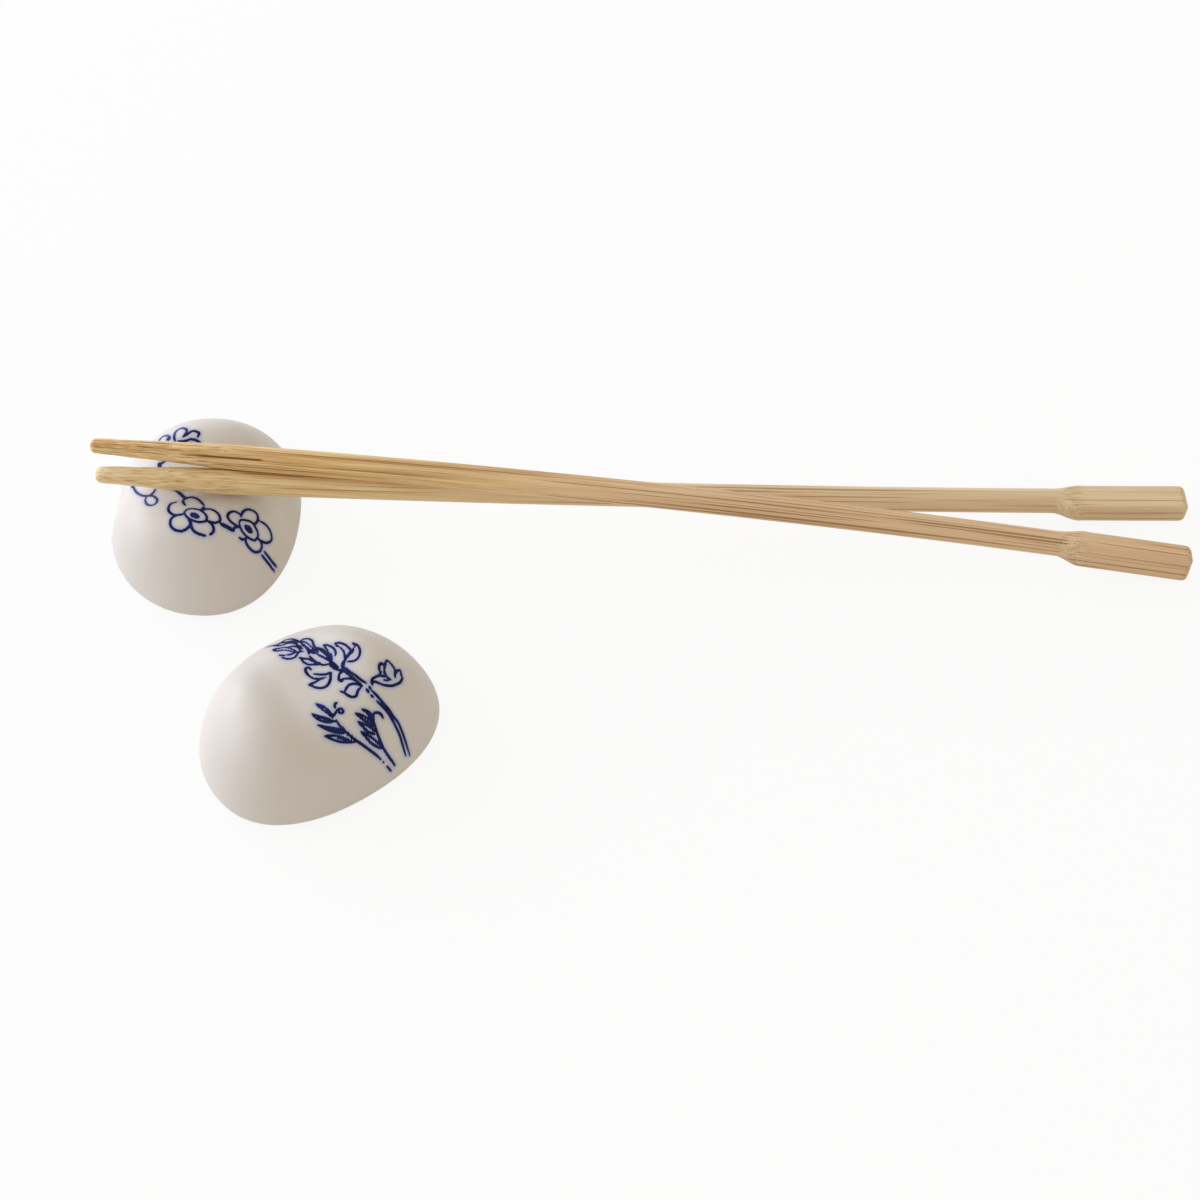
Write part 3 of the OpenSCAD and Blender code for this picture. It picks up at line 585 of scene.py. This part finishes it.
def stickTree(bamboo):
    tree, size = newGeometryTree("chopstick", stickSize)
    sheet = addNode(tree, "GeometryNodeMeshGrid", [1.0, 1.0, stickMesh["along"], stickMesh["around"] + 1])
    place = addNode(tree, "GeometryNodeInputPosition")
    side = addNode(tree, "ShaderNodeSeparateXYZ", [place]).node.outputs
    # Rings stand close together towards both ends
    share = addNode(tree, calc, [side[0], 0.5], operation="ADD")
    wave = addNode(tree, calc, [addNode(tree, calc, [share, 2 * pi], operation="MULTIPLY")],
                   operation="SINE")
    crowded = addNode(tree, calc, [wave, -stickMesh["endCrowding"] / (2 * pi), share],
                      operation="MULTIPLY_ADD")
    x = addNode(tree, calc, [crowded, size["Length"]], operation="MULTIPLY")
    halfStep = pi / stickMesh["around"]
    angle = addNode(tree, calc, [side[1], -2 * pi, pi + halfStep], operation="MULTIPLY_ADD")
    # Sizes at this place: the tip grows into the body, and the body into the handle
    tipShare = addNode(tree, remap, [x, 0.0, size["Tip Length"], 0.0, 1.0])
    # The taper may belly out, and the stick may be a little thicker where the taper ends
    taper = addNode(tree, calc, [tipShare, size["Taper Power"]], operation="POWER")
    fromSwell = addNode(tree, remap, [addNode(tree, calc, [addNode(tree, calc,
                        [x, size["Tip Length"]], operation="SUBTRACT"), stickWork["swellBefore"]],
                        operation="ADD"), -stickWork["swellReach"], stickWork["swellReach"], -pi, pi])
    swell = addNode(tree, calc, [addNode(tree, calc, [addNode(tree, calc, [fromSwell], operation="COSINE"),
                    0.5, 0.5], operation="MULTIPLY_ADD"), size["Swell"]], operation="MULTIPLY")
    radius = addNode(tree, calc, [addNode(tree, calc, [addNode(tree, remap,
                     [taper, 0.0, 1.0, size["Tip"], size["Body"]]), swell], operation="ADD"), 2.0],
                     operation="DIVIDE")
    straightRadius = addNode(tree, calc, [addNode(tree, remap,
                             [tipShare, 0.0, 1.0, size["Tip"], size["Body"]]), 2.0], operation="DIVIDE")
    grownOut = addNode(tree, calc, [radius, straightRadius], operation="SUBTRACT")
    fromEnd = addNode(tree, calc, [size["Length"], x], operation="SUBTRACT")
    handleEnd = addNode(tree, calc, [size["Handle Length"], size["Shoulder"]], operation="ADD")
    growth = addNode(tree, remap, [fromEnd, handleEnd, size["Handle Length"], 0.0, 1.0],
                     interpolation_type="SMOOTHSTEP")
    fullWidth, fullThick = [addNode(tree, remap, [growth, 0.0, 1.0, radius,
                            addNode(tree, calc, [size[name], 2.0], operation="DIVIDE")])
                            for name in ("Handle Width", "Handle Thickness")]
    fullCorner = addNode(tree, remap, [growth, 0.0, 1.0, radius, size["Corner"]])
    tipShift = addNode(tree, remap, [tipShare, 0.0, 1.0, size["Tip Offset"], 0.0])
    spread = addNode(tree, calc, [addNode(tree, calc, [size["Handle Width"], size["Body"]],
                                          operation="SUBTRACT"), -0.5], operation="MULTIPLY")
    shift = addNode(tree, calc, [growth, spread, tipShift], operation="MULTIPLY_ADD")
    # Both ends are rounded by a quarter circle
    fromNear = addNode(tree, calc, [x, fromEnd], operation="MINIMUM")
    rounding = addNode(tree, remap, [growth, 0.0, 1.0, size["Rounding"],
                       size["Handle Rounding"]])
    edge = addNode(tree, remap, [fromNear, 0.0, rounding, 1.0, 0.0])
    arc = addNode(tree, calc, [addNode(tree, calc, [1.0, addNode(tree, calc, [edge, edge],
                  operation="MULTIPLY")], operation="SUBTRACT")], operation="SQRT")
    loss = addNode(tree, calc, [addNode(tree, calc, [1.0, arc], operation="SUBTRACT"), rounding],
                   operation="MULTIPLY")
    halfWidth, halfThick = [addNode(tree, calc, [half, loss], operation="SUBTRACT")
                            for half in (fullWidth, fullThick)]
    corner = addNode(tree, calc, [addNode(tree, calc, [fullCorner, loss], operation="SUBTRACT"),
                     stickWork["leastCorner"]], operation="MAXIMUM")
    # Knife work on the tip and at the shoulder: long shallow flats and lifted fibres
    fromShoulder = addNode(tree, calc, [fromEnd, handleEnd], operation="SUBTRACT")
    atShoulder = addNode(tree, remap, [addNode(tree, calc, [addNode(tree, calc,
                         [fromShoulder, stickWork["shoulderInside"]], operation="ADD")],
                         operation="ABSOLUTE"), *stickWork["shoulderRange"]],
                         interpolation_type="SMOOTHSTEP")
    atTip = addNode(tree, remap, [x, *stickWork["paredRange"]],
                    interpolation_type="SMOOTHSTEP")
    pared = addNode(tree, calc, [atShoulder, atTip], operation="MAXIMUM")
    # Fluff sits in one patch at the shoulder, where fibres tore
    facing = addNode(tree, remap, [addNode(tree, calc, [addNode(tree, calc,
                     [angle, size["Fluff Turn"]], operation="SUBTRACT")], operation="COSINE"),
                     *stickWork["fluffRange"]])
    fluffy = addNode(tree, calc, [atShoulder, facing], operation="MULTIPLY")
    sinA = addNode(tree, calc, [angle], operation="SINE")
    cosA = addNode(tree, calc, [angle], operation="COSINE")
    fibrePlace = addNode(tree, "ShaderNodeCombineXYZ", [
        addNode(tree, calc, [x, stickWork["flatsAlong"]], operation="MULTIPLY"),
        addNode(tree, calc, [cosA, stickWork["flatsAround"]], operation="MULTIPLY"),
        addNode(tree, calc, [sinA, stickWork["flatsAround"]], operation="MULTIPLY")])
    flats = addNode(tree, "ShaderNodeTexNoise", {"Vector": fibrePlace, "Scale": 1.0, "Detail": 3.0})
    relief = addNode(tree, calc, [addNode(tree, remap, [flats, *stickWork["flatsRange"]]),
                     addNode(tree, calc, [size["Paring"], pared], operation="MULTIPLY")],
                     operation="MULTIPLY")
    lane = {}
    for name, half, wave in (("y", halfWidth, cosA), ("z", halfThick, sinA)):
        flat = addNode(tree, calc, [addNode(tree, calc, [half, corner], operation="SUBTRACT"), 0.0],
                       operation="MAXIMUM")
        rounded = addNode(tree, calc, [wave, addNode(tree, calc, [corner, relief], operation="ADD")],
                          operation="MULTIPLY")
        lane[name] = addNode(tree, calc, [addNode(tree, calc, [wave], operation="SIGN"), flat, rounded],
                             operation="MULTIPLY_ADD")
    # What the swell adds goes to the front and the top, so that the seat stays where it was
    laneY = addNode(tree, calc, [addNode(tree, calc, [lane["y"], shift], operation="ADD"),
                    addNode(tree, calc, [grownOut, stickWork["swellFrontShare"]], operation="MULTIPLY")],
                    operation="SUBTRACT")
    laneZ = addNode(tree, calc, [lane["z"], grownOut], operation="ADD")
    straight = addNode(tree, "ShaderNodeCombineXYZ", [x, laneY, laneZ])
    stored = addNode(tree, "GeometryNodeStoreNamedAttribute", {"Geometry": sheet, "Name": "fibre",
                     "Value": straight}, data_type="FLOAT_VECTOR", domain="POINT")
    for name, value in (("pared", pared), ("fluffy", fluffy)):
        stored = addNode(tree, "GeometryNodeStoreNamedAttribute", {"Geometry": stored, "Name": name,
                         "Value": value}, data_type="FLOAT", domain="POINT")
    rolled = addNode(tree, "ShaderNodeVectorRotate", {"Vector": straight, "Angle": size["Roll"]},
                     rotation_type="X_AXIS")
    # Warp: the stick bows by its seasoning, most at its middle
    along = addNode(tree, calc, [x, size["Length"]], operation="DIVIDE")
    bow = addNode(tree, calc, [addNode(tree, calc, [along, addNode(tree, calc, [1.0, along],
                  operation="SUBTRACT")], operation="MULTIPLY"), 4.0], operation="MULTIPLY")
    warped = addNode(tree, "ShaderNodeVectorMath", [rolled, addNode(tree, "ShaderNodeCombineXYZ",
                     [0.0, 0.0, addNode(tree, calc, [bow, size["Warp"]], operation="MULTIPLY")])])
    shaped = addNode(tree, "GeometryNodeSetPosition", {"Geometry": stored, "Position": warped})
    joined = addNode(tree, "GeometryNodeMergeByDistance", {"Geometry": shaped, "Distance": joinDistance})
    # End faces: the open rings are filled in to their middles
    openEdge = addNode(tree, calc, [addNode(tree, "GeometryNodeInputMeshEdgeNeighbors"), 1.0, 0.5],
                       operation="COMPARE")
    grown = addNode(tree, "GeometryNodeExtrudeMesh", {"Mesh": joined, "Selection": openEdge,
                    "Offset Scale": 0.0}, mode="EDGES").node.outputs
    fibre = addNode(tree, "GeometryNodeInputNamedAttribute", {"Name": "fibre"}, data_type="FLOAT_VECTOR")
    nearTip = addNode(tree, calc, [addNode(tree, "ShaderNodeSeparateXYZ", [fibre]),
                      stickSize["Length"] / 2], operation="LESS_THAN")
    endLane = addNode(tree, remap, [nearTip, 0.0, 1.0, spread, size["Tip Offset"]])
    endX = addNode(tree, remap, [nearTip, 0.0, 1.0, size["Length"], 0.0])
    endMiddle = addNode(tree, "ShaderNodeVectorRotate", {"Vector": addNode(tree, "ShaderNodeCombineXYZ",
                        [endX, endLane, 0.0]), "Angle": size["Roll"]}, rotation_type="X_AXIS")
    capped = addNode(tree, "GeometryNodeSetPosition", {"Geometry": grown["Mesh"], "Selection": grown["Top"],
                     "Position": endMiddle})
    closed = addNode(tree, "GeometryNodeMergeByDistance", {"Geometry": capped, "Distance": joinDistance})
    # Laid on the rest: pitched down to the table, turned, and moved to its place
    lift = addNode(tree, calc, [size["Reach"], addNode(tree, calc, [size["Pitch"]], operation="TANGENT"),
                   size["Height"]], operation="MULTIPLY_ADD")
    pitched = addNode(tree, "GeometryNodeTransform", {"Geometry": closed,
                      "Rotation": addNode(tree, "ShaderNodeCombineXYZ", [0.0, size["Pitch"], 0.0]),
                      "Translation": addNode(tree, "ShaderNodeCombineXYZ",
                      [addNode(tree, calc, [size["Reach"], -1.0], operation="MULTIPLY"), 0.0, lift])})
    laid = addNode(tree, "GeometryNodeTransform", {"Geometry": pitched,
                   "Rotation": addNode(tree, "ShaderNodeCombineXYZ", [0.0, 0.0, size["Turn"]]),
                   "Translation": addNode(tree, "ShaderNodeCombineXYZ", [0.0, size["Across"], 0.0])})
    smooth = addNode(tree, "GeometryNodeSetShadeSmooth", {"Geometry": laid})
    real = addNode(tree, "GeometryNodeRealizeInstances", {"Geometry": smooth})
    finished = addNode(tree, "GeometryNodeSetMaterial", {"Geometry": real, "Material": bamboo})
    addNode(tree, "NodeGroupOutput", {"Geometry": finished})
    return tree


bambooFinish = {
    "lower_chopstick": {"pale": "#f2ddb0", "deep": "#dcb87e", "handleTint": "#dec7aa", "streak": "#a47c4a",
                        "streaks": 0.62, "groove": None},
    "upper_chopstick": {"pale": "#f1d59e", "deep": "#cd9f60", "handleTint": "#dcbc9f", "streak": "#8a5f30",
                        "streaks": 0.57, "groove": {"angle": radians(50), "start": 16 * mm, "end": 36 * mm}},
}
bambooMarks = {
    # Length and width in mm, and how broken up; fibres are 0.25 mm wide, and vessels 0.3 mm
    "bands": (70, 1.2, 2.0), "fibres": (14, 0.25, 2.0), "vessels": (60, 0.3, 1.0),
    "cuts": (3.5, 0.25, 3.0), "fluff": (0.5, 0.22, 1.0),
}
bambooLook = {
    "torn": "#efdcb4", "fluff": "#f3e3c2", "split": "#7a5226",
    "bandRange": (0.32, 0.68, 0.05, 0.95), "fibreRange": (0.3, 0.7, -0.5, 0.5),
    "handledRange": (50 * mm, 125 * mm, 0.0, 0.64),
    "streakSpan": 0.06, "streakShare": 0.75,
    "cutRange": (0.5, 0.68, 0.0, 0.42), "tearRange": (0.46, 0.34, 0.0, 0.5),
    "fluffRange": (0.5, 0.62, 0.0, 0.55), "fluffPatch": (0.3, 0.9, 0.0, 1.0),
    "splitRange": (0.05, 0.11, 1.0, 0.0), "splitOpens": 8 * mm, "splitCloses": 1 * mm,
    "roughness": 0.55, "ior": 1.45, "specular": 0.3,
    "cutHeight": 1.2, "bumpHeight": 0.15 * mm, "bumpStrength": 0.4,
}


def bareBamboo(name, finish):
    # Split bamboo, planed round and left bare: straight fibres the whole length, browner vessel
    # streaks, a satin gleam on the planed sides, and torn fibres where a knife pared it
    material, tree = newMaterial(name)
    fibre = addNode(tree, "ShaderNodeAttribute", attribute_name="fibre").node.outputs["Vector"]
    pared = addNode(tree, "ShaderNodeAttribute", attribute_name="pared").node.outputs["Fac"]
    along = addNode(tree, "ShaderNodeSeparateXYZ", [fibre])
    look, marks = bambooLook, {}
    for kind, (long, wide, detail) in bambooMarks.items():
        stretch = (1 / (long * mm), 1 / (wide * mm), 1 / (wide * mm))
        stretched = addNode(tree, "ShaderNodeVectorMath", [fibre, stretch], operation="MULTIPLY")
        marks[kind] = addNode(tree, "ShaderNodeTexNoise",
                              {"Vector": stretched, "Scale": 1.0, "Detail": detail})
    bandShare = addNode(tree, remap, [marks["bands"], *look["bandRange"]])
    fibreShare = addNode(tree, remap, [marks["fibres"], *look["fibreRange"]])
    toneShare = addNode(tree, calc, [bandShare, fibreShare], operation="ADD", use_clamp=True)
    tone = addNode(tree, "ShaderNodeMix", {0: toneShare, 6: linearColor(finish["pale"]),
                   7: linearColor(finish["deep"])}, data_type="RGBA").node.outputs[2]
    fluffy = addNode(tree, "ShaderNodeAttribute", attribute_name="fluffy").node.outputs["Fac"]
    fluffPatch = addNode(tree, remap, [fluffy, *look["fluffPatch"]])
    streakRange = (finish["streaks"], finish["streaks"] + look["streakSpan"], 0.0, look["streakShare"])
    # Each colour lies over the ones before it: a tint towards the handle, which is held most, vessel
    # streaks, knife cuts as short flames of dark and pale fibre, and pale fluff where fibres tore
    colour = tone
    for field, span, place, over in ((along, look["handledRange"], 1.0, finish["handleTint"]),
                                     (marks["vessels"], streakRange, 1.0, finish["streak"]),
                                     (marks["cuts"], look["cutRange"], pared, finish["streak"]),
                                     (marks["cuts"], look["tearRange"], pared, look["torn"]),
                                     (marks["fluff"], look["fluffRange"], fluffPatch, look["fluff"])):
        share = addNode(tree, calc, [addNode(tree, remap, [field, *span]), place],
                        operation="MULTIPLY")
        colour = addNode(tree, "ShaderNodeMix", {0: share, 6: colour, 7: linearColor(over)},
                         data_type="RGBA").node.outputs[2]
    height = addNode(tree, calc, [marks["cuts"], addNode(tree, calc, [pared, look["cutHeight"]],
                     operation="MULTIPLY"), marks["fibres"]], operation="MULTIPLY_ADD")
    groove = finish["groove"]
    if groove:
        # A split along the fibres, drawn as a dark line 0.3 mm wide
        lane = addNode(tree, "ShaderNodeSeparateXYZ", [fibre]).node.outputs
        off = addNode(tree, calc, [addNode(tree, calc, [lane[2], lane[1]], operation="ARCTAN2"),
                      groove["angle"]], operation="SUBTRACT")
        thin = addNode(tree, remap, [addNode(tree, calc, [off], operation="ABSOLUTE"),
                       *look["splitRange"]])
        begun = addNode(tree, remap, [lane[0], groove["start"],
                        groove["start"] + look["splitOpens"], 0.0, 1.0])
        ended = addNode(tree, remap, [lane[0], groove["end"] - look["splitCloses"],
                        groove["end"], 1.0, 0.0])
        split = addNode(tree, calc, [addNode(tree, calc, [thin, begun], operation="MULTIPLY"), ended],
                        operation="MULTIPLY")
        colour = addNode(tree, "ShaderNodeMix", {0: split, 6: colour, 7: linearColor(look["split"])},
                         data_type="RGBA").node.outputs[2]
        height = addNode(tree, calc, [height, split], operation="SUBTRACT")
    bump = addNode(tree, "ShaderNodeBump", {"Strength": look["bumpStrength"],
                   "Distance": look["bumpHeight"], "Height": height})
    shader = addNode(tree, "ShaderNodeBsdfPrincipled", {"Base Color": colour,
                     "Roughness": look["roughness"], "IOR": look["ior"],
                     "Specular IOR Level": look["specular"], "Normal": bump})
    addNode(tree, "ShaderNodeOutputMaterial", {"Surface": shader})
    return material


for node, layout in laidSticks.items():
    tree = stickTree(bareBamboo(node + "Bamboo", bambooFinish[node]))
    piece = grownMesh(node + "Stick", tree, {**stickSize, **layout}, bpy.data.meshes.new(node + "Base"))
    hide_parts(node)
    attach(piece, node)


# Stage: white table, soft window light from the left, and the camera of the photograph
stage = {
    # Target, distance and table in mm, and the elevation in degrees
    "target": (82.2, -19.03, 0), "distance": 560, "elevation": 51,
    "lens": 80.87, "sensor": 36, "clip": (10 * mm, 10000 * mm),
    "table": 3000, "tableColour": "#f4f3f1", "whiteShare": 0.89,
    "world": 0.71, "worldColour": "#fff8ec",
    "lamps": (
        # name, place in mm, size in mm, power in watts, colour
        ("windowLight", (-1020, 540, 400), (1900, 700), 20, "#dfe8ff"),
    ),
}


def whiteTable(colour, whiteShare):
    # Smooth white table top: mostly plain white to the camera, and the rest shows the shadows
    material, tree = newMaterial("whiteTable")
    ray = addNode(tree, "ShaderNodeLightPath").node.outputs
    seen = addNode(tree, calc, [addNode(tree, calc, [ray["Is Camera Ray"], ray["Is Glossy Ray"]],
                   operation="MAXIMUM"), ray["Is Transmission Ray"]], operation="MAXIMUM")
    share = addNode(tree, calc, [seen, whiteShare], operation="MULTIPLY")
    matt = addNode(tree, "ShaderNodeBsdfDiffuse", {"Color": linearColor(colour)})
    white = addNode(tree, "ShaderNodeEmission", {"Color": (1, 1, 1, 1), "Strength": 1.0})
    mixed = addNode(tree, "ShaderNodeMixShader", [share, matt, white])
    addNode(tree, "ShaderNodeOutputMaterial", {"Surface": mixed})
    return material


def buildStage(stage):
    scene = bpy.context.scene
    half = stage["table"] / 2 * mm
    mesh = bpy.data.meshes.new("tableTop")
    mesh.from_pydata([(-half, -half, 0), (half, -half, 0), (half, half, 0), (-half, half, 0)], [],
                     [(0, 1, 2, 3)])
    mesh.materials.append(whiteTable(stage["tableColour"], stage["whiteShare"]))
    table = bpy.data.objects.new("tableTop", mesh)
    scene.collection.objects.link(table)
    target = Vector(stage["target"]) * mm
    for name, place, size, power, colour in stage["lamps"]:
        lamp = bpy.data.lights.new(name, "AREA")
        lamp.shape = "RECTANGLE"
        lamp.size, lamp.size_y = size[0] * mm, size[1] * mm
        lamp.energy = power
        lamp.color = linearColor(colour)[:3]
        lampObject = bpy.data.objects.new(name, lamp)
        lampObject.location = Vector(place) * mm
        lampObject.rotation_euler = (target - lampObject.location).to_track_quat("-Z", "Y").to_euler()
        scene.collection.objects.link(lampObject)
    world = bpy.data.worlds.new("softRoom")
    world.use_nodes = True
    world.node_tree.nodes.clear()
    background = addNode(world.node_tree, "ShaderNodeBackground",
                         {"Color": linearColor(stage["worldColour"]), "Strength": stage["world"]})
    addNode(world.node_tree, "ShaderNodeOutputWorld", {"Surface": background})
    scene.world = world
    camera = bpy.data.cameras.new("photoCamera")
    camera.lens = stage["lens"]
    camera.sensor_width = stage["sensor"]
    camera.clip_start, camera.clip_end = stage["clip"]
    cameraObject = bpy.data.objects.new("photoCamera", camera)
    elevation = radians(stage["elevation"])
    cameraObject.location = target + Vector((0, -cos(elevation), sin(elevation))) * stage["distance"] * mm
    cameraObject.rotation_euler = (pi / 2 - elevation, 0, 0)
    scene.collection.objects.link(cameraObject)
    scene.camera = cameraObject
    scene.view_settings.view_transform = "Standard"


buildStage(stage)
print("stage built")
